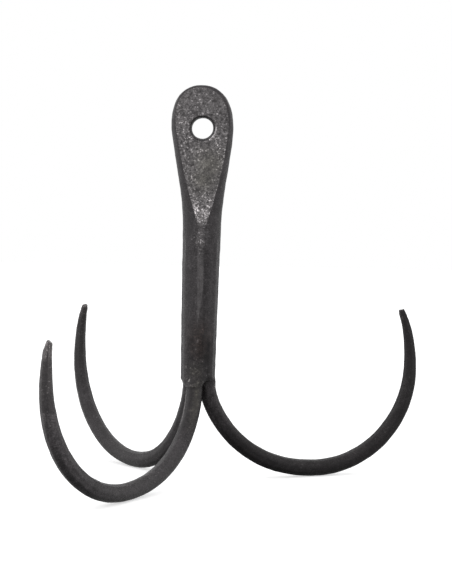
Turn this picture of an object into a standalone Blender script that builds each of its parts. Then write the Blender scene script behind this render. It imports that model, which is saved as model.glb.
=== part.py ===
"""Hand-forged grapnel anchor for a small boat: one iron shank and three upturned prongs.

The shank is a round bar. Its upper end is flared and flattened into a palm, which is pierced by
the eye for the rode. Its lower end is a socket with three tapered pockets, and each prong has a
tapered tang that fills one of them. Units are metres, +Z is up, and the anchor stands on the
bottoms of its three prongs. The origin is on the ground in the middle of its bounding box.
"""

import math

import bmesh
import bpy
from mathutils import Euler, Vector
from mathutils.geometry import interpolate_bezier

# Driving dimensions
BAR_RADIUS = 0.00635  # half-inch round bar, which the prongs are drawn from
SHANK_RADIUS = 0.0133
RIM_HEIGHT = 0.073  # open end of the socket
EYE_HEIGHT = 0.2654
TOP_HEIGHT = 0.2975
FIT_GAP = 0.0003  # clearance between a tang and its pocket

# The shank stands beside the middle of the bounding box, because the prongs differ.
SHANK_PLACE = Vector((-0.0331, 0.0168, 0.0))

# Shank and palm
RIM_HALF_WIDTH = 0.0127
DEPTH_GROWTH = 0.02  # how fast the bar's depth grows upwards from the rim
NECK_HEIGHT = 0.193  # the palm's two flats start here
FLARE_HEIGHT = 0.195  # the palm starts to widen here
NECK_HALF_WIDTH = 0.0141
PALM_HALF_WIDTH = 0.0227
WIDEST_HEIGHT = 0.266  # the palm is widest here, and its arched top starts
PALM_HALF_THICKNESS_AT_TOP = 0.0049
STRIP_DEPTH = 0.0130  # narrow flats down the front and back of the shank
FLARE_START_SLOPE = 0.2  # the flare's slopes where it starts and ends, as shares of its average
FLARE_END_SLOPE = 0.6
ARCH_SQUARENESS = 2.35  # 2 is an ellipse; more is a squarer arch
ARCH_LAST_ANGLE = math.radians(88.0)  # the arch stops just short of its crown, as a tiny flat
FLAT_LEAN = math.atan2(STRIP_DEPTH - PALM_HALF_THICKNESS_AT_TOP, TOP_HEIGHT - NECK_HEIGHT)
SECTION_POINTS = 32
BAR_STATIONS = 14
FLARE_STATIONS = 12
ARCH_STATIONS = 12

# The boxes that plane the flats
CUTTER_WIDTH = 0.08
CUTTER_DEPTH = 0.03
LEANING_HEIGHT = 0.15
LEANING_OVERLAP = 0.02  # how far a leaning box reaches below the neck

# Eye
EYE_RADIUS = 0.00785
EYE_LIP_RADIUS = 0.0092
EYE_LIP_DEPTH = 0.0016
EYE_LIP_MARGIN = 0.002  # how far the lip's cutter runs on past the palm's face
BORE_LENGTH = 0.06

# Sockets and tangs
SOCKET_CIRCLE = 0.00735  # radius of the circle through the three root centres
TANG_LENGTH = 0.030
TANG_LEAN = 0.0014  # how much nearer to the shank's axis a tang ends
TANG_TOP_RADIUS = 0.0032
MOUTH_RADIUS = 0.0054
SHOULDER_LENGTH = 0.013  # from the socket's mouth to the bar's full thickness

# Prongs
POINT_LENGTH = 0.115  # length over which the bar is drawn down to its point
POINT_RADIUS = 0.0024
POINT_FULLNESS = 0.8  # below 1, the bar keeps more of its thickness until near the point
POINT_SPACING = 0.007
PRONG_SEGMENTS = 24  # Bezier samples for each of a prong's stretches
BEVEL_RESOLUTION = 4
WELD_DISTANCE = 0.00001
SHARP_ANGLE = math.radians(35.0)

# A prong's Bezier handles, as shares of the run or rise to the next anchor
BEFORE_BOTTOM = 0.75
AFTER_BOTTOM = 0.545
BELOW_OUTERMOST = 0.56
ABOVE_OUTERMOST = 0.66
BEFORE_TIP = 0.1

# Each prong curves in one upright plane. root and heading are degrees counter-clockwise from +X,
# seen from above: where its tang is on the socket circle, and which way the prong points. drop is
# the share of the way down that the first handle takes: more makes a squarer bend. The other values
# are measured along the heading from the root, and upwards from the ground.
PRONGS = {
    "prong_right": dict(
        root=12.5, heading=22.1, drop=0.20, bottom=0.0925, reach=0.1740, reach_height=0.0845,
        tip_out=0.1646, tip_height=0.1295,
    ),
    "prong_rear_left": dict(
        root=133.8, heading=128.3, drop=0.23, bottom=0.0740, reach=0.1570, reach_height=0.0870,
        tip_out=0.1496, tip_height=0.1250,
    ),
    "prong_front_left": dict(
        root=252.5, heading=239.6, drop=0.38, bottom=0.0885, reach=0.1805, reach_height=0.0905,
        tip_out=0.1774, tip_height=0.1165,
    ),
}


def clear_scene():
    for obj in list(bpy.data.objects):
        bpy.data.objects.remove(obj, do_unlink=True)


def new_collection(name):
    collection = bpy.data.collections.new(name)
    bpy.context.scene.collection.children.link(collection)
    return collection


def iron_material(name, colour, roughness):
    material = bpy.data.materials.new(name)
    material.use_nodes = True
    shader = material.node_tree.nodes["Principled BSDF"]
    shader.inputs["Base Color"].default_value = (*colour, 1.0)
    shader.inputs["Roughness"].default_value = roughness
    shader.inputs["Metallic"].default_value = 0.8
    return material


def smoothstep(share):
    share = min(max(share, 0.0), 1.0)
    return share * share * (3.0 - 2.0 * share)


def place_in(collection, parent, obj):
    collection.objects.link(obj)
    obj.parent = parent
    return obj


# ---------------------------------------------------------------------------- shank


def flare(share):
    """Share of the palm's widening, from 0 at the neck to 1 at its widest."""
    start = FLARE_START_SLOPE * share * (1.0 - share) ** 2
    end = FLARE_END_SLOPE * share ** 2 * (1.0 - share)
    return smoothstep(share) + start - end


def shank_stations():
    """(height, half width) of each section: the bar, the flare to the palm, and the arched top."""
    stations = []
    for i in range(BAR_STATIONS):
        share = i / BAR_STATIONS
        height = RIM_HEIGHT + share * (FLARE_HEIGHT - RIM_HEIGHT)
        stations.append((height, RIM_HALF_WIDTH + share * (NECK_HALF_WIDTH - RIM_HALF_WIDTH)))
    for i in range(FLARE_STATIONS):
        share = i / FLARE_STATIONS
        height = FLARE_HEIGHT + share * (WIDEST_HEIGHT - FLARE_HEIGHT)
        widening = PALM_HALF_WIDTH - NECK_HALF_WIDTH
        stations.append((height, NECK_HALF_WIDTH + widening * flare(share)))
    power = 2.0 / ARCH_SQUARENESS
    for i in range(ARCH_STATIONS):
        angle = ARCH_LAST_ANGLE * i / (ARCH_STATIONS - 1)
        height = WIDEST_HEIGHT + (TOP_HEIGHT - WIDEST_HEIGHT) * math.sin(angle) ** power
        stations.append((height, PALM_HALF_WIDTH * math.cos(angle) ** power))
    return stations


def build_shank_blank():
    """The round bar with its flared end, before anything is cut from it: a loft of ellipses."""
    mesh = bmesh.new()
    rings = []
    for height, half_width in shank_stations():
        depth = min(SHANK_RADIUS, RIM_HALF_WIDTH + (height - RIM_HEIGHT) * DEPTH_GROWTH)
        ring = []
        for i in range(SECTION_POINTS):
            angle = 2.0 * math.pi * i / SECTION_POINTS
            ring.append(mesh.verts.new((half_width * math.cos(angle), depth * math.sin(angle), height)))
        rings.append(ring)
    for lower, upper in zip(rings, rings[1:]):
        for i in range(SECTION_POINTS):
            j = (i + 1) % SECTION_POINTS
            mesh.faces.new((lower[i], lower[j], upper[j], upper[i]))
    mesh.faces.new(list(reversed(rings[0])))
    mesh.faces.new(rings[-1])
    data = bpy.data.meshes.new("shank")
    mesh.to_mesh(data)
    mesh.free()
    return bpy.data.objects.new("shank", data)


def box_cutter(name, size, below, centre, lean):
    """A box with its +Y face through the local origin, which is some way above its bottom edge."""
    mesh = bmesh.new()
    bmesh.ops.create_cube(mesh, size=1.0)
    for vertex in mesh.verts:
        vertex.co.x *= size.x
        vertex.co.y = (vertex.co.y - 0.5) * size.y
        vertex.co.z = (vertex.co.z + 0.5) * size.z - below
    data = bpy.data.meshes.new(name)
    mesh.to_mesh(data)
    mesh.free()
    cutter = bpy.data.objects.new(name, data)
    cutter.location = centre
    cutter.rotation_euler = lean
    return cutter


def cone_cutter(name, lower_radius, upper_radius, length, segments=48):
    """A cone frustum along +Z from its local origin."""
    mesh = bmesh.new()
    bmesh.ops.create_cone(
        mesh, cap_ends=True, segments=segments, radius1=lower_radius, radius2=upper_radius, depth=length
    )
    for vertex in mesh.verts:
        vertex.co.z += length / 2.0
    data = bpy.data.meshes.new(name)
    mesh.to_mesh(data)
    mesh.free()
    return bpy.data.objects.new(name, data)


def flat_cutters():
    """Boxes that plane the shank's front and back: upright below the neck, leaning in above it."""
    cutters = []
    for side, turn in (("front", 0.0), ("back", math.pi)):
        outward = -1.0 if side == "front" else 1.0
        upright_size = Vector((CUTTER_WIDTH, CUTTER_DEPTH, NECK_HEIGHT))
        upright = box_cutter(
            f"cut_strip_{side}", upright_size, 0.0, (0.0, outward * STRIP_DEPTH, 0.0),
            Euler((0.0, 0.0, turn)),
        )
        leaning_size = Vector((CUTTER_WIDTH, CUTTER_DEPTH, LEANING_HEIGHT))
        leaning = box_cutter(
            f"cut_flat_{side}", leaning_size, LEANING_OVERLAP,
            (0.0, outward * STRIP_DEPTH, NECK_HEIGHT), Euler((-FLAT_LEAN, 0.0, turn)),
        )
        cutters += [upright, leaning]
    return cutters


def eye_cutters():
    """The eye's bore along Y, and a cone that opens it at each face of the palm."""
    half_thickness = STRIP_DEPTH - (EYE_HEIGHT - NECK_HEIGHT) * math.tan(FLAT_LEAN)
    bore = cone_cutter("cut_eye", EYE_RADIUS, EYE_RADIUS, BORE_LENGTH)
    bore.location = (0.0, BORE_LENGTH / 2.0, EYE_HEIGHT)
    bore.rotation_euler = (math.pi / 2.0, 0.0, 0.0)
    cutters = [bore]
    slope = (EYE_LIP_RADIUS - EYE_RADIUS) / EYE_LIP_DEPTH
    for side, outward in (("front", -1.0), ("back", 1.0)):
        lip = cone_cutter(
            f"cut_lip_{side}", EYE_RADIUS, EYE_LIP_RADIUS + slope * EYE_LIP_MARGIN,
            EYE_LIP_DEPTH + EYE_LIP_MARGIN,
        )
        lip.location = (0.0, outward * (half_thickness - EYE_LIP_DEPTH), EYE_HEIGHT)
        tilt = math.pi / 2.0 + FLAT_LEAN if side == "front" else -math.pi / 2.0 - FLAT_LEAN
        lip.rotation_euler = (tilt, 0.0, 0.0)
        cutters.append(lip)
    return cutters


# ---------------------------------------------------------------------------- prongs


def prong_anchors(shape):
    """Bezier anchors in the prong's own plane, as (point, handle before, handle after)."""
    root = Vector((0.0, 0.0, RIM_HEIGHT))
    bottom = Vector((shape["bottom"], 0.0, BAR_RADIUS))
    outermost = Vector((shape["reach"], 0.0, shape["reach_height"]))
    tip = Vector((shape["tip_out"], 0.0, shape["tip_height"]))
    tang_top = root + Vector((-TANG_LEAN, 0.0, TANG_LENGTH))
    tang = root - tang_top
    down = Vector((0.0, 0.0, -1.0))
    out = Vector((1.0, 0.0, 0.0))
    return [
        (tang_top, tang_top, tang_top + tang / 3.0),
        (root, root - tang / 3.0, root + down * shape["drop"] * (root.z - bottom.z)),
        (bottom, bottom - out * BEFORE_BOTTOM * bottom.x,
         bottom + out * AFTER_BOTTOM * (outermost.x - bottom.x)),
        (outermost, outermost + down * BELOW_OUTERMOST * (outermost.z - bottom.z),
         outermost - down * ABOVE_OUTERMOST * (tip.z - outermost.z)),
        (tip, tip + BEFORE_TIP * (outermost - tip), tip),
    ]


def even_path(anchors):
    """Points along the Bezier path, about POINT_SPACING apart."""
    dense = []
    for (start, _, start_handle), (end, end_handle, _) in zip(anchors, anchors[1:]):
        dense += interpolate_bezier(start, start_handle, end_handle, end, PRONG_SEGMENTS)[:-1]
    dense.append(anchors[-1][0])
    lengths = [0.0]
    for before, after in zip(dense, dense[1:]):
        lengths.append(lengths[-1] + (after - before).length)
    count = round(lengths[-1] / POINT_SPACING)
    points = []
    stretch = 0
    for i in range(count + 1):
        target = lengths[-1] * i / count
        while stretch < len(dense) - 2 and lengths[stretch + 1] < target:
            stretch += 1
        share = (target - lengths[stretch]) / (lengths[stretch + 1] - lengths[stretch])
        points.append(dense[stretch].lerp(dense[stretch + 1], min(share, 1.0)))
    return points, lengths[-1]


def bar_radius(distance, total):
    """The prong's radius at a distance along it from the top of its tang."""
    if distance < TANG_LENGTH:
        share = distance / TANG_LENGTH
        return TANG_TOP_RADIUS + share * (MOUTH_RADIUS - TANG_TOP_RADIUS)
    shoulder = smoothstep((distance - TANG_LENGTH) / SHOULDER_LENGTH)
    full = MOUTH_RADIUS + shoulder * (BAR_RADIUS - MOUTH_RADIUS)
    left = max(0.0, min(1.0, (total - distance) / POINT_LENGTH))
    return POINT_RADIUS + (full - POINT_RADIUS) * math.sin(left ** POINT_FULLNESS * math.pi / 2.0)


def bar_mesh(name, points, radii):
    """A closed tube mesh through the points, made from a bevelled curve with its caps welded on."""
    curve = bpy.data.curves.new(name, "CURVE")
    curve.dimensions = "3D"
    curve.twist_mode = "MINIMUM"
    curve.bevel_depth = 1.0
    curve.bevel_resolution = BEVEL_RESOLUTION
    curve.use_fill_caps = True
    spline = curve.splines.new("POLY")
    spline.points.add(len(points) - 1)
    for point, place, radius in zip(spline.points, points, radii):
        point.co = (*place, 1.0)
        point.radius = radius
    holder = bpy.data.objects.new(name, curve)
    bpy.context.scene.collection.objects.link(holder)
    bpy.context.view_layer.update()
    graph = bpy.context.evaluated_depsgraph_get()
    data = bpy.data.meshes.new_from_object(holder.evaluated_get(graph))
    bpy.data.objects.remove(holder, do_unlink=True)
    mesh = bmesh.new()
    mesh.from_mesh(data)
    bmesh.ops.remove_doubles(mesh, verts=mesh.verts, dist=WELD_DISTANCE)
    bmesh.ops.recalc_face_normals(mesh, faces=mesh.faces)
    mesh.to_mesh(data)
    mesh.free()
    return data


def set_at_root(obj, shape):
    angle = math.radians(shape["root"])
    obj.location = (SOCKET_CIRCLE * math.cos(angle), SOCKET_CIRCLE * math.sin(angle), 0.0)
    obj.rotation_euler = (0.0, 0.0, math.radians(shape["heading"]))


def build_prong(name, shape):
    points, total = even_path(prong_anchors(shape))
    radii = [bar_radius(total * i / (len(points) - 1), total) for i in range(len(points))]
    prong = bpy.data.objects.new(name, bar_mesh(name, points, radii))
    set_at_root(prong, shape)
    return prong


def pocket_cutter(name, shape):
    """The tang's own shape with the fit's gap all round, from below the rim to past its top."""
    points, total = even_path(prong_anchors(shape))
    step = total / (len(points) - 1)
    reach = TANG_LENGTH + SHOULDER_LENGTH / 2.0
    inside = [i for i in range(len(points)) if i * step < reach]
    places = [points[i] for i in inside]
    radii = [bar_radius(step * i, total) + FIT_GAP for i in inside]
    places[0] = places[0] + Vector((0.0, 0.0, FIT_GAP))
    cutter = bpy.data.objects.new(name, bar_mesh(name, places, radii))
    set_at_root(cutter, shape)
    return cutter


# ---------------------------------------------------------------------------- assembly


def cut(target, cutters, collection, parent):
    for cutter in cutters:
        place_in(collection, parent, cutter)
        cutter.hide_render = True
        cutter.display_type = "WIRE"
        modifier = target.modifiers.new(cutter.name, "BOOLEAN")
        modifier.operation = "DIFFERENCE"
        modifier.solver = "EXACT"
        modifier.object = cutter


def shade(obj, material):
    obj.data.materials.clear()
    obj.data.materials.append(material)
    obj.data.shade_smooth()
    obj.data.set_sharp_from_angle(angle=SHARP_ANGLE)


def main():
    clear_scene()
    parts = new_collection("grapnel_anchor")
    cutters = new_collection("cutters")
    anchor = bpy.data.objects.new("anchor", None)
    parts.objects.link(anchor)
    anchor.location = SHANK_PLACE

    shank = place_in(parts, anchor, build_shank_blank())
    shade(shank, iron_material("shank_iron", (0.055, 0.055, 0.052), 0.5))
    prong_iron = iron_material("prong_iron", (0.040, 0.040, 0.040), 0.55)
    pockets = []
    for name, shape in PRONGS.items():
        shade(place_in(parts, anchor, build_prong(name, shape)), prong_iron)
        pockets.append(pocket_cutter(f"cut_pocket_{name}", shape))
    cut(shank, flat_cutters() + eye_cutters() + pockets, cutters, anchor)


main()
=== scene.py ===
"""Looks of the hand-forged grapnel anchor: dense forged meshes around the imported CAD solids.

Every length is in metres, in the CAD's own frame. The four CAD solids give the anchor its size
and place. Each is replaced by a finely shaped piece: a hammered, many-sided shank with a pitted
palm and a lapped lower rim, and three drawn-out prongs. Fine marks smaller than the mesh, such as
grain and glints, come from the materials' nodes.
"""

import math
from types import SimpleNamespace

import bpy
import numpy as np
from mathutils import Euler, Matrix, Vector, noise
from mathutils.geometry import interpolate_bezier


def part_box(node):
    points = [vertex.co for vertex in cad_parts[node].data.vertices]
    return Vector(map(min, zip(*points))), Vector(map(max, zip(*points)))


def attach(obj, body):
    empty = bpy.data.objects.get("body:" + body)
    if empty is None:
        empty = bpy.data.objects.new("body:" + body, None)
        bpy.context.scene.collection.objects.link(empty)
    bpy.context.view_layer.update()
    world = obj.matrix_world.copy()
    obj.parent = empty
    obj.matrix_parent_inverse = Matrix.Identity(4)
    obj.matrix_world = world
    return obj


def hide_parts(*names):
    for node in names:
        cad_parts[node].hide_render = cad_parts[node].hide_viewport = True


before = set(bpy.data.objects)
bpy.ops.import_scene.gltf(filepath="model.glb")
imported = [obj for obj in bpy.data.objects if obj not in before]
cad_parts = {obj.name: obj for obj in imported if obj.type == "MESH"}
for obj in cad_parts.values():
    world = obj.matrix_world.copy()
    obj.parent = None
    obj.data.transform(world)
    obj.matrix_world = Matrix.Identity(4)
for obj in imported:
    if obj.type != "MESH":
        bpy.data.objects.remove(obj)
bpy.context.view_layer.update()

# ------------------------------------------------------------------ sizes from the frame

SHANK_LOW, SHANK_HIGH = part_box("shank")
AXIS = Vector(((SHANK_LOW.x + SHANK_HIGH.x) / 2.0, (SHANK_LOW.y + SHANK_HIGH.y) / 2.0, 0.0))
RIM_HEIGHT = SHANK_LOW.z
TOP_HEIGHT = SHANK_HIGH.z - 0.0002
PALM_HALF_WIDTH = (SHANK_HIGH.x - SHANK_LOW.x) / 2.0

# ------------------------------------------------------------------ the CAD's other dimensions

BAR_RADIUS = 0.00635
SOCKET_CIRCLE = 0.00735
POINT_RADIUS = 0.0024
POINT_LENGTH = 0.115
POINT_FULLNESS = 0.8
EYE_HEIGHT = 0.2654
WIDEST_HEIGHT = 0.266
EYE_RADIUS = 0.00785
EYE_OFFSET = 0.0003  # the eye was punched this far to the right of the middle
FLARE_HEIGHT = 0.195
NECK_HALF_WIDTH = 0.0141
RIM_HALF_WIDTH = 0.0127
ARCH_SQUARENESS = 2.35
FLARE_START_SLOPE = 0.2
FLARE_END_SLOPE = 0.6

# The same curves as the CAD's tubes. root and heading are degrees from +X, seen from above; the
# rest is measured outwards along the heading from the root, and upwards.
PRONGS = {
    "prong_right": dict(
        root=12.5, heading=22.1, drop=0.20, bottom=0.0925, reach=0.1740, reach_height=0.0845,
        tip_out=0.1646, tip_height=0.1295,
    ),
    "prong_rear_left": dict(
        root=133.8, heading=128.3, drop=0.23, bottom=0.0740, reach=0.1570, reach_height=0.0870,
        tip_out=0.1496, tip_height=0.1250,
    ),
    "prong_front_left": dict(
        root=252.5, heading=239.6, drop=0.38, bottom=0.0885, reach=0.1805, reach_height=0.0905,
        tip_out=0.1774, tip_height=0.1165,
    ),
}
BEFORE_BOTTOM = 0.75
AFTER_BOTTOM = 0.545
BELOW_OUTERMOST = 0.56
ABOVE_OUTERMOST = 0.66
BEFORE_TIP = 0.1

# ------------------------------------------------------------------ the shank's forging

SHANK_DEPTH = 0.0134  # half its depth, front to back
FLAT_START = 0.190  # the palm's flats run out into the bar here
FLAT_SLOPE = 0.085
FLAT_RUN_IN = 0.004  # over about this length the flat's slope grows, which gives it a sharp V end
FRONT_FLAT_TURN = 0.6  # degrees by which the front flat faces away from -Y
HIGHEST_BUMP = 0.0001  # no relief stands further out of the plain shape than this
SKIN = 0.0005  # how far the lapped rim stands proud of a prong's bar
LAP_LENGTH = 0.014  # the rim's wavy edge is levelled out over this length above it
LAP_FADE = 0.34  # over this share of it, the outline goes from the prongs' to the bar's
LAP_RADIUS = 0.0104  # of the lap between the prongs
# Steps (inwards, upwards) from the rim's lip to the inside of its mouth, innermost first.
MOUTH = ((0.0050, 0.0030), (0.0016, 0.0012), (0.0008, 0.0003), (0.0004, 0.0))
SHANK_SIDES = 200
LAP_RINGS = 18
CROWN_RINGS = 60
RING_STEP = 0.0008
VOXEL = 0.00054  # the shank's mesh size, which keeps it under 200,000 triangles

# Hammered flats round the bar: the normal's angle from +X in degrees, and how much lower than the
# bar's round each flat is, as a share of its radius.
BAR_FLATS = (
    (22, 0.055), (60, 0.065), (92, 0.030), (125, 0.062), (162, 0.055),
    (199, 0.060), (233, 0.034), (256, 0.0105), (306, 0.0755), (343, 0.0545),
)
FRONT_STRIP = (274, 0.015)
SWELLING = (0.135, 0.030)  # the bar is a little thicker round this height, over this length
BAR_CORNER = 150.0  # how sharp the edges between the flats are

# ------------------------------------------------------------------ the prongs' forging

CURVE_SAMPLES = 200  # along each of a prong's four curves
PRONG_SIDES = 100
PRONG_STEP = 0.00055  # between a prong's rings
FACETS = 8  # lengthwise hammered facets round a prong
FACET_DEPTH = 0.062  # how much lower they are than the round bar, as a share of its radius
FACET_SWELL = 0.018  # how much the bar grows to make up for them
FACET_CORNER = 80.0  # how sharp the edges between them are
ROUNDED_END = 0.0008  # the point is rounded over this last stretch

# Noise is stretched by these: into wrinkles round the bars, and into streaks along the shank.
WRINKLE_STRETCH = np.array([0.3, 0.3, 1.0])
WRINKLE_SIZE = 0.0012
STREAK_STRETCH = np.array([1.0, 1.0, 0.06])

# ------------------------------------------------------------------ small helpers


def smoothstep(low, high, value):
    share = np.clip((value - low) / (high - low), 0.0, 1.0)
    return share * share * (3.0 - 2.0 * share)


def window(value, start, full, fading, end):
    """1 between full and fading, and nothing before start or after end."""
    return smoothstep(start, full, value) * smoothstep(end, fading, value)


def hump(value, centre, width):
    """1 at the centre, falling to nothing about two widths away."""
    return np.exp(-(((value - centre) / width) ** 2))


def turn_between(angle, centre):
    """The signed angle from centre, in radians, between minus pi and pi."""
    return (angle - centre + math.pi) % (2.0 * math.pi) - math.pi


def side_share(angle, degrees, width):
    """1 on the side that faces the given way, falling off over the width in radians."""
    return hump(turn_between(angle, math.radians(degrees)), 0.0, width)


def grid_faces(rings, sides):
    """Quads between successive rings of a closed tube, whose rings have the same number of sides."""
    index = np.arange(rings * sides).reshape(rings, sides)
    after = np.roll(index, -1, axis=1)
    quads = np.stack([index[:-1], after[:-1], after[1:], index[1:]], axis=-1)
    return quads.reshape(-1, 4)


def tube_object(name, rings):
    """A closed mesh through rings of points, given from low to high and counter-clockwise."""
    count, sides = rings.shape[:2]
    data = bpy.data.meshes.new(name)
    faces = [tuple(quad) for quad in grid_faces(count, sides).tolist()]
    faces.append(tuple(reversed(range(sides))))
    faces.append(tuple(range((count - 1) * sides, count * sides)))
    data.from_pydata(rings.reshape(-1, 3).tolist(), [], faces)
    data.update()
    obj = bpy.data.objects.new(name, data)
    bpy.context.scene.collection.objects.link(obj)
    return obj


def bake_modifiers(obj):
    """Applies the object's modifiers to its mesh."""
    bpy.context.view_layer.update()
    graph = bpy.context.evaluated_depsgraph_get()
    data = bpy.data.meshes.new_from_object(obj.evaluated_get(graph))
    obj.modifiers.clear()
    obj.data = data


def read_vectors(obj, name):
    values = np.empty(len(obj.data.vertices) * 3)
    obj.data.vertices.foreach_get(name, values)
    return values.reshape(-1, 3)


def set_points(obj, points):
    obj.data.vertices.foreach_set("co", points.reshape(-1))
    obj.data.update()


def store(obj, name, values):
    """Keeps one number for each vertex, which the material reads."""
    attribute = obj.data.attributes.new(name, "FLOAT", "POINT")
    attribute.data.foreach_set("value", np.asarray(values, dtype=np.float32))


def lift(obj, points, normals, relief, level):
    """Presses the relief into the surface, from a level a little above it."""
    depth = np.maximum(relief - level, -HIGHEST_BUMP)
    set_points(obj, points - normals * depth[:, None])


def noise_at(points, size, seed):
    """Smooth noise between about -1 and 1, with features of the given size."""
    offset = Vector((seed * 7.31, seed * 3.77, seed * 5.19))
    return np.array([noise.noise(Vector(p) / size + offset) for p in points.tolist()])


def blows(points, size, seed):
    """Overlapping hammer dents: 0 on the ridges between them and 1 in the middle of each."""
    offset = Vector((seed * 2.13, seed * 9.41, seed * 6.07))
    nearest = np.array([noise.voronoi(Vector(p) / size + offset)[0][0] for p in points.tolist()])
    return 1.0 - np.clip(nearest, 0.0, 1.0) ** 2


def marks(across, height, places):
    """Soft round marks on the shank, from (across, height, radius, strength)."""
    total = np.zeros_like(across)
    for centre, level, radius, strength in places:
        distance = np.hypot(across - centre, height - level) / radius
        total = np.maximum(total, strength * np.exp(-distance ** 2))
    return total


# ------------------------------------------------------------------ shank


def flare(share):
    """Share of the palm's widening, from 0 at the neck to 1 at the eye, as in the CAD."""
    start = FLARE_START_SLOPE * share * (1.0 - share) ** 2
    end = FLARE_END_SLOPE * share ** 2 * (1.0 - share)
    return smoothstep(0.0, 1.0, share) + start - end


def half_width_at(height):
    """The shank's half width, seen from the front, below the arch."""
    bar = np.minimum((height - RIM_HEIGHT) / (FLARE_HEIGHT - RIM_HEIGHT), 1.0)
    share = np.clip((height - FLARE_HEIGHT) / (WIDEST_HEIGHT - FLARE_HEIGHT), 0.0, 1.0)
    width = RIM_HALF_WIDTH + (NECK_HALF_WIDTH - RIM_HALF_WIDTH) * bar
    return width + (PALM_HALF_WIDTH - NECK_HALF_WIDTH) * flare(share)


def sway_at(height):
    """How far the hand-drawn bar wanders to the right of its axis."""
    neck = 0.0011 * hump(height, 0.205, 0.062) + 0.0001 * hump(height, *SWELLING)
    crown = 0.0007 * smoothstep(0.245, 0.300, height)
    return neck - crown


def inside_outline(across, height):
    """How far a point of the palm is inside its outline, seen from the front."""
    rise = np.maximum(height - WIDEST_HEIGHT, 0.0)
    wide = (np.abs(across) / PALM_HALF_WIDTH) ** ARCH_SQUARENESS
    high = (rise / (TOP_HEIGHT - WIDEST_HEIGHT)) ** ARCH_SQUARENESS
    share = np.maximum(wide + high, 0.001) ** (1.0 / ARCH_SQUARENESS)
    in_arch = np.hypot(across, rise) * (1.0 / share - 1.0)
    return np.where(rise > 0.0, in_arch, half_width_at(height) - np.abs(across))


def flat_depth_at(height):
    """Distance of the palm's front and back flats from the axis."""
    rise = np.maximum(height - FLAT_START, 0.0)
    return SHANK_DEPTH - FLAT_SLOPE * rise ** 2 / (rise + FLAT_RUN_IN)


def bar_section(angle, height, half_width):
    """Radius of the hammered bar and palm at an angle round the axis, at one height."""
    palm = float(smoothstep(0.182, 0.215, height))
    squareness = 2.0 + 0.36 * float(smoothstep(0.195, 0.225, height))
    squareness -= 0.20 * float(smoothstep(0.235, 0.262, height))
    side = (
        np.abs(SHANK_DEPTH * np.cos(angle) / (1.025 * half_width)) ** squareness
        + np.abs(np.sin(angle)) ** squareness
    ) ** (1.0 / squareness)
    total = side ** BAR_CORNER

    def cut(degrees, distance):
        facing = np.maximum(np.cos(angle - math.radians(degrees)), 0.0)
        return (SHANK_DEPTH * facing / distance) ** BAR_CORNER

    swollen = 0.018 * float(hump(height, *SWELLING))
    bar = half_width_at(min(height, FLARE_HEIGHT)) * (1.0 + 2.0 * palm + swollen)
    for degrees, lowered in BAR_FLATS:
        total = total + cut(degrees, 1.03 * bar * (1.0 - lowered))
    strip_turn, strip_lowered = FRONT_STRIP
    strip_lowered = strip_lowered * float(smoothstep(0.114, 0.140, height))
    total = total + cut(strip_turn, 1.01 * bar * (1.0 - strip_lowered))
    for degrees in (90, 270 + FRONT_FLAT_TURN):  # the palm's back and front
        total = total + cut(degrees, flat_depth_at(height))
    return SHANK_DEPTH * total ** (-1.0 / BAR_CORNER)


def lap_section(angle):
    """Radius of the outline that the three prongs' bars make together at the rim."""
    widest = np.full_like(angle, LAP_RADIUS)
    for shape in PRONGS.values():
        away = turn_between(angle, math.radians(shape["root"]))
        inside = (BAR_RADIUS + SKIN) ** 2 - (SOCKET_CIRCLE * np.sin(away)) ** 2
        reach = SOCKET_CIRCLE * np.cos(away) + np.sqrt(np.maximum(inside, 0.0))
        widest = np.maximum(widest, np.where((inside > 0.0) & (np.cos(away) > 0.0), reach, 0.0))
    return widest


def rim_at(angle):
    """Height of the lapped rim: lowest over the front left prong, and arched over the right one."""
    degrees = np.degrees(angle) % 360.0
    lap = smoothstep(190.0, 216.0, degrees) * (1.0 - smoothstep(284.0, 310.0, degrees))
    arch = smoothstep(284.0, 310.0, degrees) + 1.0 - smoothstep(50.0, 80.0, degrees)
    slant = 0.0010 * np.sin(angle - math.radians(255.0))
    return RIM_HEIGHT + 0.0004 + 0.0030 * arch - (0.0017 - slant) * lap


def shank_rings(sides):
    """Rings of the shank, from inside the rim's mouth, over its lip, and up to the crown."""
    angle = np.linspace(0.0, 2.0 * math.pi, sides, endpoint=False)
    rim = rim_at(angle)
    lap = lap_section(angle)
    lap_top = RIM_HEIGHT + LAP_LENGTH
    follow = 0.85 - 0.35 * hump(turn_between(angle, 0.0), 0.0, 0.6)
    follow = follow + 0.45 * hump(turn_between(angle, math.radians(245.0)), 0.0, 0.5)
    rings = []

    def add(height, radius, level):
        x = radius * np.cos(angle) + sway_at(level)
        y = radius * np.sin(angle)
        rings.append(np.stack([AXIS.x + x, AXIS.y + y, np.broadcast_to(height, x.shape)], axis=-1))

    def lapped(share):
        level = RIM_HEIGHT + share * LAP_LENGTH
        bar = bar_section(angle, level, half_width_at(level))
        return bar + (lap - bar) * (1.0 - float(smoothstep(0.0, LAP_FADE, share))) * follow

    lip = lapped(0.0)
    for inward, upward in MOUTH:
        add(rim + upward, lip - inward, RIM_HEIGHT)
    for share in np.linspace(0.0, 1.0, LAP_RINGS, endpoint=False):
        above = share * LAP_LENGTH
        edge = 0.0003 * max(0.0, 1.0 - above / 0.0006)
        add(rim + 0.0002 + share * (lap_top - rim), lapped(share) - edge, RIM_HEIGHT + above)
    for height in np.arange(lap_top, WIDEST_HEIGHT, RING_STEP):
        add(height, bar_section(angle, height, half_width_at(height)), height)
    power = 2.0 / ARCH_SQUARENESS
    for turn in np.linspace(0.0, math.radians(89.0), CROWN_RINGS):
        height = WIDEST_HEIGHT + (TOP_HEIGHT - WIDEST_HEIGHT) * math.sin(turn) ** power
        half_width = PALM_HALF_WIDTH * math.cos(turn) ** power
        add(height, bar_section(angle, height, half_width), height)
    return np.stack(rings)


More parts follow.
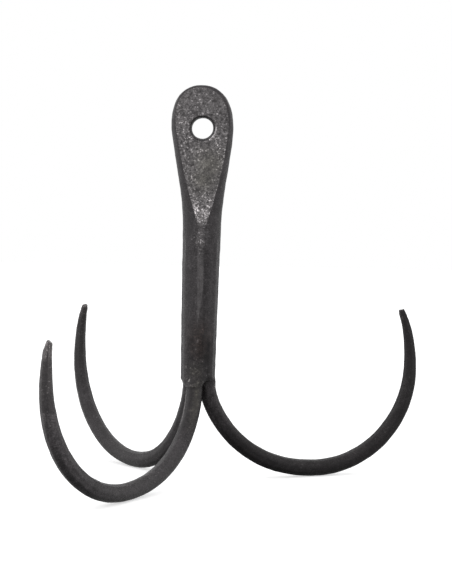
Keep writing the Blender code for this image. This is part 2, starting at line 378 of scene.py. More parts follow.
def eye_cutter():
    """The punched eye: a slightly uneven bore that opens towards both faces."""
    turns = np.linspace(0.0, 2.0 * math.pi, 96, endpoint=False)
    uneven = 1.0 + 0.012 * np.sin(2.0 * turns + 0.6) + 0.008 * np.sin(3.0 * turns)
    opening = ((0.0040, EYE_RADIUS), (0.0058, 0.0085), (0.0070, 0.0092), (0.030, 0.0208))
    towards_front = tuple((-depth, radius) for depth, radius in reversed(opening))
    rings = []
    for depth, radius in towards_front + opening:
        x = AXIS.x + EYE_OFFSET + radius * uneven * np.cos(turns)
        z = EYE_HEIGHT + radius * uneven * np.sin(turns)
        rings.append(np.stack([x, np.full_like(x, AXIS.y + depth), z], axis=-1)[::-1])
    return tube_object("eye_cutter", np.stack(rings))


def build_shank():
    shank = tube_object("shank_forged", shank_rings(SHANK_SIDES))
    cutter = eye_cutter()
    cutting = shank.modifiers.new("eye", "BOOLEAN")
    cutting.operation = "DIFFERENCE"
    cutting.solver = "EXACT"
    cutting.object = cutter
    remesh = shank.modifiers.new("remesh", "REMESH")
    remesh.mode = "VOXEL"
    remesh.voxel_size = VOXEL
    bake_modifiers(shank)
    bpy.data.objects.remove(cutter, do_unlink=True)
    forge_shank(shank)
    return shank


# Marks on the shank, as (across, height, radius, strength). The bright and dull ones are on the
# palm's front and back alike, and the others are on the front only.
CHIPS = (
    (-0.0011, 0.1883, 0.0010, 0.5), (-0.0032, 0.1820, 0.0008, 0.5), (-0.0002, 0.1078, 0.0007, 0.35),
    (-0.0008, 0.1065, 0.0007, 0.40), (-0.0018, 0.1010, 0.0007, 0.40), (-0.0090, 0.0872, 0.0008, 0.7),
    (-0.0065, 0.0768, 0.0006, 1.0), (-0.0061, 0.0778, 0.0006, 1.0), (-0.0030, 0.0900, 0.0006, 0.3),
    (0.0042, 0.0770, 0.0007, 0.35), (0.0046, 0.0765, 0.0006, 0.3),
)
DENTS = ((0.0162, 0.2467, 0.0016, 1.0), (0.0034, 0.2520, 0.0012, 1.0), (0.0120, 0.2595, 0.0013, 1.0))
BRIGHT_FOOT = (
    (-0.0010, 0.2030, 0.0062, 1.0), (-0.0060, 0.2095, 0.0036, 0.8), (0.0068, 0.2120, 0.0040, 0.7),
)
BRIGHT_BY_EYE = ((-0.0115, 0.262, 0.011, 1.0), (0.0105, 0.258, 0.006, 0.4))
DULL_PALM = ((0.0050, 0.2380, 0.0105, 1.0), (0.0010, 0.2270, 0.0085, 1.0))
SPECKLES = ((0.0008, 0.1865, 0.0042, 1.0), (0.0008, 0.1805, 0.0036, 1.0))
BROWN_STAIN = ((0.0012, 0.1120, 0.0085, 1.0), (0.0022, 0.1030, 0.0080, 1.0))
OLIVE_STAIN = ((-0.0015, 0.0840, 0.0060, 1.0), (-0.0010, 0.0745, 0.0060, 1.0))

# The palm's edges are rounded over this far in, at its left and at its right.
EDGE_ROUNDING = (0.0035, 0.0063)
EDGE_DROP = 0.0016  # how far the rounded edge falls back behind the flat
FLAT_DEPTHS = (0.00032, 0.00012)  # metal this far below a flat counts as off it, and as on it
STRIP_SOFTNESS = 0.0003
LIP_SHADE_RADIUS = 0.0088  # the painted shade round the eye's bore
LIP_GLINT_RADIUS = 0.0101  # a painted highlight: the bright crescent outside the lip
LIP_WIDTH = 0.0006


def round_palm_edge(shank):
    """Rounds off the palm's edge and returns the moved points."""
    points = read_vectors(shank, "co")
    height = points[:, 2]
    across = points[:, 0] - AXIS.x - sway_at(height)
    at_left, at_right = EDGE_ROUNDING
    rounding = at_left + (at_right - at_left) * smoothstep(-0.004, 0.014, across)
    short = 1.0 - np.clip(inside_outline(across, height) / rounding, 0.0, 1.0)
    drop = EDGE_DROP * (1.0 - np.sqrt(1.0 - short ** 2)) * smoothstep(0.225, 0.250, height)
    points[:, 1] = AXIS.y + (points[:, 1] - AXIS.y) * (1.0 - drop / flat_depth_at(height))
    set_points(shank, points)
    return points


def shank_places(points, normals):
    """Where each kind of surface is on the shank, as a share from 0 to 1 at every vertex."""
    at = SimpleNamespace()
    at.height = height = points[:, 2]
    seen_across = points[:, 0] - AXIS.x
    at.across = across = seen_across - sway_at(height)
    at.front = normals[:, 1] < 0.0
    facing = np.abs(normals[:, 1])

    turn = np.where(at.front, math.radians(FRONT_FLAT_TURN), 0.0)
    depth = np.abs((points[:, 1] - AXIS.y) * np.cos(turn)) + across * np.sin(turn)
    flat = smoothstep(*FLAT_DEPTHS, flat_depth_at(height) - depth)
    flat = flat * smoothstep(0.93, 0.96, facing)
    at.flat = flat * smoothstep(FLAT_START, FLAT_START + 0.006, height)
    at.worn_edge = at.flat * smoothstep(0.998, 0.975, facing) * smoothstep(0.262, 0.240, height)

    # The worn strip down the bar's front: its left side is nearly straight, and its right tapers.
    lean = 0.0004 * smoothstep(0.155, 0.170, height)
    left_side = -0.0013 - lean
    right_side = 0.0038 * smoothstep(0.113, 0.150, height) - 0.0008 - lean
    strip = smoothstep(-STRIP_SOFTNESS, STRIP_SOFTNESS, seen_across - left_side)
    strip = strip * smoothstep(-STRIP_SOFTNESS, STRIP_SOFTNESS, right_side - seen_across)
    at.strip = strip * at.front * window(height, 0.113, 0.122, 0.186, 0.192)
    shoulder = window(seen_across, -0.0060, -0.0030, -0.0010, 0.0005)
    at.shoulder = shoulder * at.front * window(height, 0.130, 0.142, 0.182, 0.192)
    ridge_line = hump(seen_across, 0.0058, 0.0005) * at.front
    at.ridge_line = ridge_line * window(height, 0.176, 0.181, 0.192, 0.200)
    at.beside_strip = (
        window(across, 0.0026, 0.0034, 0.0060, 0.0085) * window(height, 0.110, 0.118, 0.170, 0.178)
    )

    at.speckled = marks(seen_across, height, SPECKLES) * at.front * (1.0 - at.flat)
    at.chips = marks(across, height, CHIPS) * at.front
    at.dents = marks(across, height, DENTS) * at.front
    at.brown = marks(across, height, BROWN_STAIN) * at.front
    at.olive = marks(across, height, OLIVE_STAIN) * at.front
    at.foot = marks(across, height, BRIGHT_FOOT)
    at.by_eye = marks(across, height, BRIGHT_BY_EYE)
    at.dull = marks(across, height, DULL_PALM)

    from_eye = np.hypot(across, height - EYE_HEIGHT)
    at.lower_right = side_share(np.arctan2(height - EYE_HEIGHT, across), -25.0, 0.5)
    # A painted shade: a dark ring round the eye's bore.
    at.lip = hump(from_eye, LIP_SHADE_RADIUS, LIP_WIDTH) * at.front
    # A painted highlight: a bright crescent at the eye's lower right.
    at.lip_glint = hump(from_eye, LIP_GLINT_RADIUS, LIP_WIDTH) * at.lower_right
    return at


def forge_shank(shank):
    """Hammer dents, scale and pits as real relief, and the masks that the material reads."""
    points = round_palm_edge(shank)
    normals = read_vectors(shank, "normal")
    at = shank_places(points, normals)
    pits = np.clip(noise_at(points, 0.0022, 4) - 0.15, 0.0, 1.0)
    pits += 0.8 * np.clip(noise_at(points, 0.0012, 5) - 0.15, 0.0, 1.0)
    rough = 0.22 + 0.78 * at.flat
    relief = 0.00028 * blows(points, 0.011, 1) * (1.0 - 0.8 * at.flat) * (1.0 - 0.8 * at.strip)
    relief += 0.00010 * (0.5 + noise_at(points, 0.0050, 2))
    relief += 0.00004 * (0.5 + noise_at(points, 0.0016, 3))
    relief += 0.00042 * pits * rough + 0.0004 * at.dents - 0.00015 * at.chips
    wrinkles = noise_at(points * WRINKLE_STRETCH, WRINKLE_SIZE, 9)
    relief += 0.00009 * (0.5 + wrinkles) * smoothstep(0.100, 0.088, at.height)
    lift(shank, points, normals, relief, 0.00020)
    mask_shank(shank, points, at, pits, rough)


def mask_shank(shank, points, at, pits, rough):
    """Stores what the shank's material reads at each vertex."""
    worn_strip = at.strip * (0.42 + 0.14 * hump(at.height, 0.147, 0.018))
    store(shank, "bare_and_highlight", np.maximum.reduce([
        at.flat, worn_strip, 0.11 * at.shoulder, 0.22 * at.ridge_line, 0.07 * at.olive,
        0.55 * at.speckled, at.lip_glint * at.front, at.chips,
    ]))

    patchy = 0.5 + 0.8 * noise_at(points, 0.006, 6)
    palm_glint = 0.22 - 0.12 * smoothstep(0.268, 0.282, at.height)
    palm_glint = palm_glint + at.foot + 0.45 * at.by_eye * patchy + 0.5 * at.worn_edge
    palm_glint = at.flat * np.clip(palm_glint, 0.0, 1.0) * (1.0 - 0.8 * at.dull)
    bar_glint = 0.03 + 0.10 * smoothstep(0.115, 0.090, at.height) * at.front + 0.7 * at.speckled
    store(shank, "glint", np.clip(palm_glint + bar_glint, 0.0, 1.0))

    pitted = np.clip(pits * 2.4, 0.0, 1.0) * rough * (1.0 - 0.5 * at.dull) * (1.0 - at.strip)
    # Real pits, and the painted shade round the eye except at its lower right.
    store(shank, "pits_and_shade", np.maximum(pitted, 0.8 * at.lip * (1.0 - at.lower_right)))

    coarse = 1.0 - 0.65 * at.strip * smoothstep(0.176, 0.166, at.height)
    coarse = coarse - 0.35 * at.dull * at.flat + 0.35 * at.by_eye * at.flat
    coarse = coarse - 0.3 * smoothstep(0.274, 0.284, at.height) - 0.7 * at.lip_glint
    store(shank, "coarse", coarse * (1.0 - 0.8 * np.clip(at.chips, 0.0, 1.0)))

    # Dulled sheen low on the bar's front, but not down its middle or on the olive, and beside the
    # strip.
    worn_middle = hump(at.across, -0.0020, 0.0022) * (1.0 - hump(at.height, 0.0935, 0.006))
    dulling = 0.55 * window(at.across, -0.0098, -0.0075, 0.0078, 0.0098) * (1.0 - worn_middle)
    dulling = dulling * window(at.height, 0.074, 0.081, 0.106, 0.114) * (1.0 - np.clip(at.olive, 0.0, 1.0))
    store(shank, "dulling", np.maximum(dulling, 0.40 * at.beside_strip) * at.front)

    store(shank, "rust", at.brown * (1.0 - at.flat))
    store(shank, "olive", np.maximum(0.8 * at.olive, 0.5 * at.dull * at.flat * at.front))

    low_right = smoothstep(-0.002, 0.006, at.across) * smoothstep(0.120, 0.095, at.height) * at.front
    low_patches = 0.45 * noise_at(points, 0.0035, 8) * smoothstep(0.128, 0.108, at.height)
    streaks = 0.30 * noise_at(points * STREAK_STRETCH, 0.0012, 11) * (1.0 - at.flat)
    palm = (0.80 * at.foot - 0.14 * at.dull) * at.flat + 0.4 * at.worn_edge
    # Real chips, and the painted highlight of the eye's crescent.
    chips_and_highlight = 2.2 * at.chips + 4.5 * at.lip_glint * at.front
    # The olive and brown stains, and darker towards the lower right of the bar.
    stains_and_low_right = 0.2 * at.olive - 0.40 * at.brown - 0.5 * low_right
    tone = 1.0 + 0.28 * noise_at(points, 0.009, 7) + low_patches + streaks + palm + chips_and_highlight + stains_and_low_right
    store(shank, "tone", tone)


# ------------------------------------------------------------------ prongs


def prong_path(shape, spacing):
    """Evenly spaced (outward, upward) points along a prong, from inside the shank to its point."""
    buried = Vector((shape["lean"], 0.0, RIM_HEIGHT + shape["buried"]))
    root = Vector((0.0, 0.0, RIM_HEIGHT))
    bottom = Vector((shape["bottom"], 0.0, BAR_RADIUS))
    outermost = Vector((shape["reach"], 0.0, shape["reach_height"]))
    tip = Vector((shape["tip_out"], 0.0, shape["tip_height"] + shape["stretch"]))
    down = Vector((0.0, 0.0, -1.0))
    out = Vector((1.0, 0.0, 0.0))
    stretches = (
        (buried, buried + (root - buried) / 3.0, root - down * shape["buried"] * 0.4, root),
        (root, root + down * shape["drop"] * (root.z - bottom.z),
         bottom - out * BEFORE_BOTTOM * bottom.x, bottom),
        (bottom, bottom + out * AFTER_BOTTOM * (outermost.x - bottom.x),
         outermost + down * BELOW_OUTERMOST * (outermost.z - bottom.z), outermost),
        (outermost, outermost - down * ABOVE_OUTERMOST * (tip.z - outermost.z),
         tip + BEFORE_TIP * (outermost - tip), tip),
    )
    dense = [buried]
    for stretch in stretches:
        dense += interpolate_bezier(*stretch, CURVE_SAMPLES)[1:]
    dense = np.array([(p.x, p.z) for p in dense])
    steps = np.linalg.norm(np.diff(dense, axis=0), axis=1)
    lengths = np.concatenate([[0.0], np.cumsum(steps)])
    even = np.linspace(0.0, lengths[-1], round(lengths[-1] / spacing) + 1)
    path = np.stack([np.interp(even, lengths, dense[:, i]) for i in (0, 1)], axis=-1)
    return path, even


def drawn_radius(left):
    """The bar's radius at a distance from its end, drawn down to the point and rounded over."""
    share = np.clip(left / POINT_LENGTH, 0.0, 1.0) ** POINT_FULLNESS
    radius = POINT_RADIUS + (BAR_RADIUS - POINT_RADIUS) * np.sin(share * math.pi / 2.0)
    over = np.clip(1.0 - left / ROUNDED_END, 0.0, 1.0)
    return radius * np.sqrt(1.0 - 0.55 * over ** 2)


def bar_facets(angle, squared, turn):
    """Share of the radius left by the lengthwise hammered facets."""
    total = np.ones((len(squared), len(angle)))
    for i in range(FACETS):
        facing = np.maximum(np.cos(angle - turn - math.radians(360.0 / FACETS) * i), 0.0)
        total = total + (facing[None, :] / (1.0 - FACET_DEPTH * squared[:, None])) ** FACET_CORNER
    return total ** (-1.0 / FACET_CORNER)


def build_prong(name, shape, seed):
    path, along = prong_path(shape, PRONG_STEP)
    left = along[-1] - along
    tangent = np.gradient(path, along, axis=0)
    tangent /= np.linalg.norm(tangent, axis=1)[:, None]
    heading = math.radians(shape["heading"])
    root = math.radians(shape["root"])
    outward = np.array([math.cos(heading), math.sin(heading), 0.0])
    upward = np.array([0.0, 0.0, 1.0])
    sideways = np.cross(upward, outward)
    start = np.array([math.cos(root), math.sin(root), 0.0]) * SOCKET_CIRCLE + np.array(AXIS)
    inner = -tangent[:, 1:] * outward + tangent[:, :1] * upward
    middle = start + path[:, :1] * outward + path[:, 1:] * upward
    middle = middle + 0.00025 * hump(left, 0.035, 0.030)[:, None] * inner

    angle = np.linspace(0.0, 2.0 * math.pi, PRONG_SIDES, endpoint=False)
    squared = 0.45 + 0.55 * smoothstep(0.130, 0.050, left)
    reach = drawn_radius(left)[:, None] * bar_facets(angle, squared, math.radians(shape["turn"]))
    reach = reach * (1.0 + FACET_SWELL * squared[:, None])
    ring = reach[..., None] * (
        np.cos(angle)[None, :, None] * inner[:, None, :]
        - np.sin(angle)[None, :, None] * sideways
    )
    points = middle[:, None, :] + ring
    towards_tip = tangent[:, :1] * outward + tangent[:, 1:] * upward
    slant = 0.5 + 0.5 * np.cos(angle - math.radians(shape["slant_side"]))
    shorter = shape["slant"] * smoothstep(0.007, 0.0, left)[:, None] * slant
    points = points - shorter[..., None] * towards_tip[:, None, :]
    prong = tube_object(name + "_forged", points)
    forge_prong(prong, np.repeat(left, PRONG_SIDES), np.tile(angle, len(path)), shape, seed)
    return prong


def prong_places(left, angle, shape):
    """Where each kind of surface is on a prong, as a share from 0 to 1 at every vertex.

    left is the distance to the prong's end. angle goes round it, from 0 at the hook's inner side.
    """
    at = SimpleNamespace(left=left, angle=angle)
    at.from_root = left.max() - shape["buried"] - left
    at.root = smoothstep(0.046, 0.016, at.from_root)
    at.near_end = smoothstep(shape["worn_length"], 0.002, left)
    at.towards_end = smoothstep(0.060, 0.012, left)
    at.very_end = smoothstep(0.0035, 0.0, left)
    at.groove = side_share(angle, shape["groove"], 0.22)
    ridge_turn = math.radians(60.0) - math.radians(40.0) * smoothstep(-0.014, 0.046, at.from_root)
    at.ridge = hump(turn_between(angle, ridge_turn), 0.0, 0.14) * at.root * shape["ridge"]
    at.chips = np.zeros(len(left))
    for below_root, degrees, radius, strength in shape["chips"]:
        around = BAR_RADIUS * turn_between(angle, math.radians(degrees))
        spot = strength * hump(np.hypot(at.from_root - below_root, 0.6 * around), 0.0, radius)
        at.chips = np.maximum(at.chips, spot)
    return at


def forge_prong(prong, left, angle, shape, seed):
    """Hammer dents, wrinkles and the ragged point as real relief, and the material's masks."""
    points = read_vectors(prong, "co")
    normals = read_vectors(prong, "normal")
    at = prong_places(left, angle, shape)
    grain = noise_at(points, 0.0018, seed + 2)
    ragged = noise_at(points, 0.0024, seed + 4)
    pits = np.clip(noise_at(points, 0.0022, seed + 3) - 0.32, 0.0, 1.0)
    relief = 0.00020 * blows(points, 0.012, seed)
    relief += 0.00010 * (0.5 + noise_at(points, 0.0060, seed + 1)) + 0.00004 * (0.5 + grain)
    relief += 0.0003 * pits + at.near_end * 0.00045 * np.clip(ragged + 0.15, 0.0, 1.0)
    relief += shape["groove_depth"] * at.groove * at.near_end
    worn_side = side_share(angle, shape["worn_side"], 0.9)
    relief += shape["worn_depth"] * worn_side * smoothstep(0.009, 0.0, left)
    relief += 0.0004 * at.very_end * np.clip(0.5 + ragged, 0.0, 1.0)
    wrinkles = noise_at(points * WRINKLE_STRETCH, WRINKLE_SIZE, seed + 7)
    relief += 0.00012 * (0.5 + wrinkles) * at.root
    lift(prong, points, normals, relief, 0.00016)
    mask_prong(prong, points, at, pits, ragged, shape, seed)


def mask_prong(prong, points, at, pits, ragged, shape, seed):
    """Stores what a prong's material reads at each vertex."""
    bright = shape["bright"]
    lengthwise = np.stack([
        np.cos(at.angle) * 0.006, np.sin(at.angle) * 0.006, at.left * 0.12,
    ], axis=-1)
    streaks = 0.5 + 0.9 * noise_at(lengthwise, 0.0022, seed + 5)
    worn = np.maximum(at.near_end, 0.3 * at.towards_end)
    worn = bright * worn * np.clip(streaks + 0.3 - at.groove, 0.0, 1.0)
    # A painted highlight along the prong's upper inner side.
    inner = side_share(at.angle, 35.0, 0.5) * shape["inner_highlight"]
    bare_and_highlight = np.maximum.reduce([worn, 0.3 * at.ridge, inner, at.chips, 0.8 * at.very_end])
    store(prong, "bare_and_highlight", np.clip(bare_and_highlight, 0.0, 1.0))

    glint = 0.04 + 0.7 * at.very_end + 0.25 * at.near_end * bright + 0.12 * at.towards_end
    store(prong, "glint", np.clip(glint, 0.0, 1.0))

    # A painted shade: a dark line on the prong just below the shank's rim.
    round_axis = np.arctan2(points[:, 1] - AXIS.y, points[:, 0] - AXIS.x)
    rim_shade = smoothstep(0.0016, 0.0002, rim_at(round_axis) - points[:, 2])
    store(prong, "pits_and_shade", np.clip(pits * 2.0 + 0.7 * at.groove * at.near_end + rim_shade, 0.0, 1.0))

    store(prong, "rust", 0.8 * hump(at.left, 0.014, 0.006) * np.clip(ragged + 0.3, 0.0, 1.0))
    store(prong, "olive", shape["olive"] * at.root * side_share(at.angle, 305.0, 0.75))

    bands_and_facet_light = 0.16 * (streaks - 0.5) * smoothstep(0.160, 0.060, at.left)
    # Painted light and shade on given lengthwise facets, lighter or darker as their strength says.
    for degrees, strength in shape["facet_light"]:
        facet = side_share(at.angle, degrees, 0.24)
        bands_and_facet_light = bands_and_facet_light + strength * facet * window(at.left, 0.040, 0.080, 0.120, 0.170)
    # Painted light and shade round the root: lighter on its lit side, darker on two others.
    lit_side = side_share(at.angle, 312.0, 0.45)
    shaded_side = side_share(at.angle, 357.0, 0.35)
    far_side = side_share(at.angle, 262.0, 0.40)
    shade = 0.45 * lit_side - 0.35 * shaded_side - 0.30 * far_side
    root = (shape["root_gain"] + shape["root_shade"] * shade) * at.root + at.ridge
    point = bright * (0.5 * at.near_end + 0.85 * hump(at.left, 0.042, 0.042))
    gains = 0.38 * noise_at(points, 0.011, seed + 6) + bands_and_facet_light + root + at.chips + point
    store(prong, "tone", shape["tone"] * np.maximum(1.0 + gains, 0.2))

    store(prong, "coarse", np.full(len(at.left), 0.8))
    # A painted shade: the hook's underside has its sheen dulled, so that it looks darker.
    under = side_share(at.angle, 180.0, 0.9) * smoothstep(0.090, 0.130, at.left)
    neck = shape["neck_dulling"] * hump(at.from_root, 0.036, 0.016)
    store(prong, "dulling", np.maximum(shape["under_shade"] * under, neck))


# ------------------------------------------------------------------ material

# The masks kept on the meshes mean:
#   bare_and_highlight  the share of bare metal, and of the painted highlights on the eye's crescent
#     and a prong's inner side
#   rust, olive and pits_and_shade  the shares of those over the scale; pits_and_shade also holds
#     the painted shade round the eye and below the shank's rim
#   glint   how many bright sparkles, painted glints, there are, and coarse how strong the fine grain is
#   dulling how far the sheen is dulled, which under each hook is a painted shade
#   tone    how bright the surface is, as a multiple of its colour, with painted light and shade on
#     the eye's crescent, the prongs' facets and their roots

RUST = (0.034, 0.022, 0.017)
PIT_AND_SHADE_COLOUR = (0.014, 0.013, 0.013)
OLIVE_TINT = (0.98, 1.0, 0.78)
SHEEN_TINT = (1.0, 0.94, 0.97)
PATCH_SIZE = 0.0045
MOTTLE_SIZE = 0.0012
SPECK_SIZE = 0.0007
SPARKLE_SIZE = 0.00085
GLOSS_SIZE = 0.003
BUMP_SIZE = 0.0010
BUMP_DEPTH = 0.0003


class NodeMaker:
    """Short calls for the few kinds of node that the materials use."""

    def __init__(self, material):
        material.use_nodes = True
        self.nodes = material.node_tree.nodes
        self.links = material.node_tree.links
        self.shader = self.nodes["Principled BSDF"]
        self.place = self.nodes.new("ShaderNodeTexCoord").outputs["Object"]

    def feed(self, socket, value):
        if isinstance(value, bpy.types.NodeSocket):
            self.links.new(value, socket)
        elif isinstance(value, tuple):
            socket.default_value = (*value, 1.0)
        else:
            socket.default_value = value

    def noise(self, size, detail=2.0, roughness=0.6):
        node = self.nodes.new("ShaderNodeTexNoise")
        node.inputs["Scale"].default_value = 1.0 / size
        node.inputs["Detail"].default_value = detail
        node.inputs["Roughness"].default_value = roughness
        self.links.new(self.place, node.inputs["Vector"])
        return node.outputs["Fac"]

    def cells(self, size):
        """One random number for each small cell."""
        node = self.nodes.new("ShaderNodeTexVoronoi")
        node.inputs["Scale"].default_value = 1.0 / size
        self.links.new(self.place, node.inputs["Vector"])
        split = self.nodes.new("ShaderNodeSeparateColor")
        self.links.new(node.outputs["Color"], split.inputs["Color"])
        return split.outputs["Red"]

    def attribute(self, name):
        node = self.nodes.new("ShaderNodeAttribute")
        node.attribute_name = name
        return node.outputs["Fac"]

    def map(self, value, low, high, from_value, to_value):
        node = self.nodes.new("ShaderNodeMapRange")
        for name, number in (
            ("From Min", low), ("From Max", high), ("To Min", from_value), ("To Max", to_value),
        ):
            self.feed(node.inputs[name], number)
        self.links.new(value, node.inputs["Value"])
        return node.outputs["Result"]

    def math(self, operation, first, second):
        node = self.nodes.new("ShaderNodeMath")
        node.operation = operation
        self.feed(node.inputs[0], first)
        self.feed(node.inputs[1], second)
        return node.outputs["Value"]

    def mix(self, share, first, second, blend="MIX"):
        node = self.nodes.new("ShaderNodeMix")
        node.data_type = "RGBA"
        node.blend_type = blend
        self.feed(node.inputs[0], share)
        self.feed(node.inputs[6], first)
        self.feed(node.inputs[7], second)
        return node.outputs[2]

    def brighten(self, colour, gain):
        """The colour times a number from another node."""
        node = self.nodes.new("ShaderNodeVectorMath")
        node.operation = "SCALE"
        self.links.new(colour, node.inputs[0])
        self.feed(node.inputs["Scale"], gain)
        return node.outputs["Vector"]


def forged_iron(name, scale_colour, bare_colour, sheen):
    """Dark forge scale over iron: grey, speckled and pitted where the metal is bare."""
    material = bpy.data.materials.new(name)
    make = NodeMaker(material)
    # Broad patches everywhere, with mottling and specks where the surface is coarse.
    patches = make.map(make.noise(PATCH_SIZE, 4.0), 0.32, 0.68, 0.60, 1.40)
    mottle = make.map(make.noise(MOTTLE_SIZE, 4.0), 0.30, 0.70, 0.30, 1.70)
    specks = make.map(make.cells(SPECK_SIZE), 0.0, 1.0, 0.45, 1.55)
    fine = make.math("MULTIPLY", mottle, specks)
    fine = make.map(make.attribute("coarse"), 0.0, 1.0, 1.0, fine)
    grain = make.math("MULTIPLY", fine, patches)

    scale = make.mix(make.math("MULTIPLY", make.attribute("rust"), 0.75), scale_colour, RUST)
    # Bare metal, and painted highlights on the eye's crescent and on a prong's inner side.
    surface = make.mix(make.attribute("bare_and_highlight"), scale, bare_colour)
    tint = make.mix(make.attribute("olive"), (1.0, 1.0, 1.0), OLIVE_TINT)
    surface = make.mix(1.0, surface, tint, "MULTIPLY")
    surface = make.brighten(surface, make.math("MULTIPLY", grain, make.attribute("tone")))
    # Dark pits, and painted shade round the eye and below the shank's rim.
    surface = make.mix(make.math("MULTIPLY", make.attribute("pits_and_shade"), 0.75), surface, PIT_AND_SHADE_COLOUR)
    # Painted glints: small cells shine out, more of them and more brightly where there is glint.
    glint = make.attribute("glint")
    threshold = make.map(glint, 0.0, 1.0, 1.0, 0.64)
    sparkling = make.math("GREATER_THAN", make.cells(SPARKLE_SIZE), threshold)
    sparkle = make.brighten(surface, make.map(glint, 0.0, 1.0, 2.6, 4.0))
    surface = make.mix(sparkling, surface, sparkle)
    make.feed(make.shader.inputs["Base Color"], surface)
    # Sheen dulled where the mask says, which under each hook is a painted shade.
    dulled = make.map(make.attribute("dulling"), 0.0, 1.0, sheen, 0.3 * sheen)
    make.feed(make.shader.inputs["Specular IOR Level"], dulled)
    make.feed(make.shader.inputs["Specular Tint"], SHEEN_TINT)
    gloss = make.map(make.noise(GLOSS_SIZE, 4.0), 0.35, 0.65, 0.20, 0.40)
    make.feed(make.shader.inputs["Roughness"], gloss)

    bump = make.nodes.new("ShaderNodeBump")
    bump.inputs["Strength"].default_value = 1.0
    bump.inputs["Distance"].default_value = BUMP_DEPTH
    make.feed(bump.inputs["Height"], make.noise(BUMP_SIZE, 4.0, 0.75))
    make.feed(make.shader.inputs["Normal"], bump.outputs["Normal"])
    return material


# ------------------------------------------------------------------ stage

SKY = 0.60  # light from every side
SKY_SLOPE = (-0.055, -0.120, 0.49)  # more of it from above, and a little from the left and front
SIDE_GLOW = 0.31  # more of it from straight left and right
FLOOR_RADIUS = 8.0
FLOOR_GLOW = 0.55
CAMERA_PLACE = AXIS + Vector((0.020, -1.050, 0.18375))
CAMERA_LENS = 86.3  # millimetres, on a sensor 36 mm wide
CAMERA_DOWN = 2.2  # degrees
CAMERA_ROLL = 1.06  # degrees


def build_floor():
    """A wide pale floor, which takes a faint shadow but throws no light back on the anchor."""
    bpy.ops.mesh.primitive_circle_add(vertices=96, radius=FLOOR_RADIUS, fill_type="NGON")
    floor = bpy.context.object
    floor.name = "studio_floor"
    floor.visible_diffuse = False
    floor.visible_glossy = False
    material = bpy.data.materials.new("studio_floor")
    material.use_nodes = True
    shader = material.node_tree.nodes["Principled BSDF"]
    shader.inputs["Base Color"].default_value = (0.8, 0.8, 0.8, 1.0)
    shader.inputs["Roughness"].default_value = 1.0
    shader.inputs["Specular IOR Level"].default_value = 0.0
    shader.inputs["Emission Color"].default_value = (1.0, 1.0, 1.0, 1.0)
    shader.inputs["Emission Strength"].default_value = FLOOR_GLOW
    floor.data.materials.append(material)


def build_world():
    """Soft light all round, as a smooth function of direction, and plain white behind the anchor."""
    world = bpy.data.worlds.new("studio")
    bpy.context.scene.world = world
    world.use_nodes = True
    nodes = world.node_tree.nodes
    links = world.node_tree.links
    nodes.clear()
    direction = nodes.new("ShaderNodeTexCoord").outputs["Generated"]

    def along(vector):
        dot = nodes.new("ShaderNodeVectorMath")
        dot.operation = "DOT_PRODUCT"
        links.new(direction, dot.inputs[0])
        dot.inputs[1].default_value = vector
        return dot.outputs["Value"]

    def times_plus(first, second, third):
        node = nodes.new("ShaderNodeMath")
        node.operation = "MULTIPLY_ADD"
        for socket, value in zip(node.inputs, (first, second, third)):
            if isinstance(value, bpy.types.NodeSocket):
                links.new(value, socket)
            else:
                socket.default_value = value
        return node.outputs["Value"]

    across = along((1.0, 0.0, 0.0))
    strength = times_plus(along(SKY_SLOPE), 1.0, SKY)
    strength = times_plus(times_plus(across, across, 0.0), SIDE_GLOW, strength)
    soft = nodes.new("ShaderNodeBackground")
    links.new(strength, soft.inputs["Strength"])
    backdrop = nodes.new("ShaderNodeBackground")
    for node in (soft, backdrop):
        node.inputs["Color"].default_value = (1.0, 1.0, 1.0, 1.0)
    path = nodes.new("ShaderNodeLightPath")
    choose = nodes.new("ShaderNodeMixShader")
    links.new(path.outputs["Is Camera Ray"], choose.inputs["Fac"])
    links.new(soft.outputs["Background"], choose.inputs[1])
    links.new(backdrop.outputs["Background"], choose.inputs[2])
    output = nodes.new("ShaderNodeOutputWorld")
    links.new(choose.outputs["Shader"], output.inputs["Surface"])


def build_camera():
    """Level with the middle of the shank and a little to its right, looking slightly down."""
    camera_data = bpy.data.cameras.new("camera")
    camera_data.lens = CAMERA_LENS
    camera_data.sensor_width = 36.0
    camera = bpy.data.objects.new("camera", camera_data)
    tilt = Euler((math.radians(90.0 - CAMERA_DOWN), 0.0, 0.0)).to_matrix().to_4x4()
    roll = Matrix.Rotation(math.radians(CAMERA_ROLL), 4, "Z")
    camera.matrix_world = Matrix.Translation(CAMERA_PLACE) @ tilt @ roll
    bpy.context.scene.collection.objects.link(camera)
    bpy.context.scene.camera = camera


# ------------------------------------------------------------------ assembly

SHANK_SCALE = (0.0240, 0.0220, 0.0230)
SHANK_METAL = (0.136, 0.129, 0.130)
SHANK_SHEEN = 0.5
PRONG_METAL = (0.260, 0.239, 0.236)
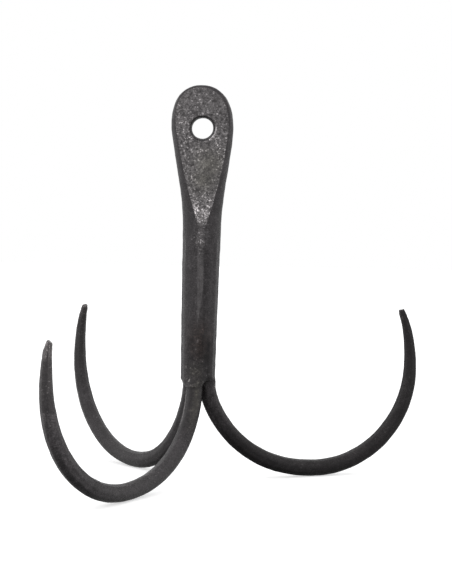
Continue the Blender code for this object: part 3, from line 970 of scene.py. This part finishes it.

# How the prongs differ. Lengths are in metres, and degrees go round the prong from 0 at the hook's
# inner side. The rest are shares or strengths.
#   buried, lean: how far the prong goes up into the shank, and how far out or in it starts there
#   stretch: how much higher than the CAD's its point ends
#   turn: where its hammered facets start, and facet_light the (degrees, strength) of facets with
#     painted light, or with painted shade where the strength is below 0
#   worn_length, bright, groove, worn_side: the length, brightness, groove and worn side of its point
#   slant, slant_side: how much shorter the point is on one side
#   tone, sheen, under_shade, inner_highlight: its brightness and sheen, the sheen dulled below as a
#     painted shade, and a painted highlight on its inner side
#   root_gain, root_shade, neck_dulling, olive, ridge: the brightness, painted light and shade,
#   dulled
#     sheen, stain and ridge of its root
#   chips: bright specks, as (distance below the root, degrees, radius, strength)
PRONG_LOOKS = {
    "prong_right": dict(
        buried=0.014, lean=-0.0020, stretch=0.0008, turn=10, facet_light=(),
        worn_length=0.017, bright=0.35, groove=90, groove_depth=0.0003,
        worn_side=200, worn_depth=0.0003, slant=0.0006, slant_side=300,
        tone=0.40, sheen=0.25, under_shade=0.5, inner_highlight=0.08,
        root_gain=1.8, root_shade=0.0, neck_dulling=0.0, olive=0.0, ridge=0.0, chips=(),
    ),
    "prong_rear_left": dict(
        buried=0.014, lean=-0.0010, stretch=0.0017, turn=25, facet_light=((60, 0.3), (20, -0.3)),
        worn_length=0.017, bright=0.45, groove=250, groove_depth=0.0002,
        worn_side=180, worn_depth=0.0004, slant=0.0004, slant_side=300,
        tone=0.80, sheen=0.44, under_shade=0.1, inner_highlight=0.0,
        root_gain=0.0, root_shade=0.0, neck_dulling=0.0, olive=0.0, ridge=0.0, chips=(),
    ),
    "prong_front_left": dict(
        buried=0.004, lean=-0.0004, stretch=0.0012, turn=20,
        facet_light=((240, 0.45), (203, -0.35), (145, 0.3)),
        worn_length=0.021, bright=1.0, groove=218, groove_depth=0.0006,
        worn_side=130, worn_depth=0.0010, slant=0.0018, slant_side=290,
        tone=1.14, sheen=0.5, under_shade=0.10, inner_highlight=0.0,
        root_gain=-0.25, root_shade=1.0, neck_dulling=0.45, olive=1.0, ridge=1.0,
        chips=(
            (0.0066, 315, 0.0006, 0.26), (0.0045, 318, 0.0005, 0.16),
            (0.0200, 341, 0.0009, 0.18), (0.0180, 318, 0.0006, 0.12),
        ),
    ),
}


def finish_piece(piece, node, material):
    piece.data.materials.clear()
    piece.data.materials.append(material)
    piece.data.shade_smooth()
    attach(piece, "root")
    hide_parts(node)


build_camera()
build_floor()
build_world()
shank_iron = forged_iron("shank_scale", SHANK_SCALE, SHANK_METAL, SHANK_SHEEN)
finish_piece(build_shank(), "shank", shank_iron)
for index, (name, shape) in enumerate(PRONGS.items()):
    looks = PRONG_LOOKS[name]
    seed = 20 + 10 * index  # a prong's noises take the seeds from this one on
    prong = build_prong(name, {**shape, **looks}, seed)
    material = forged_iron(name + "_scale", SHANK_SCALE, PRONG_METAL, looks["sheen"])
    finish_piece(prong, name, material)

bpy.context.scene.view_settings.view_transform = "Standard"
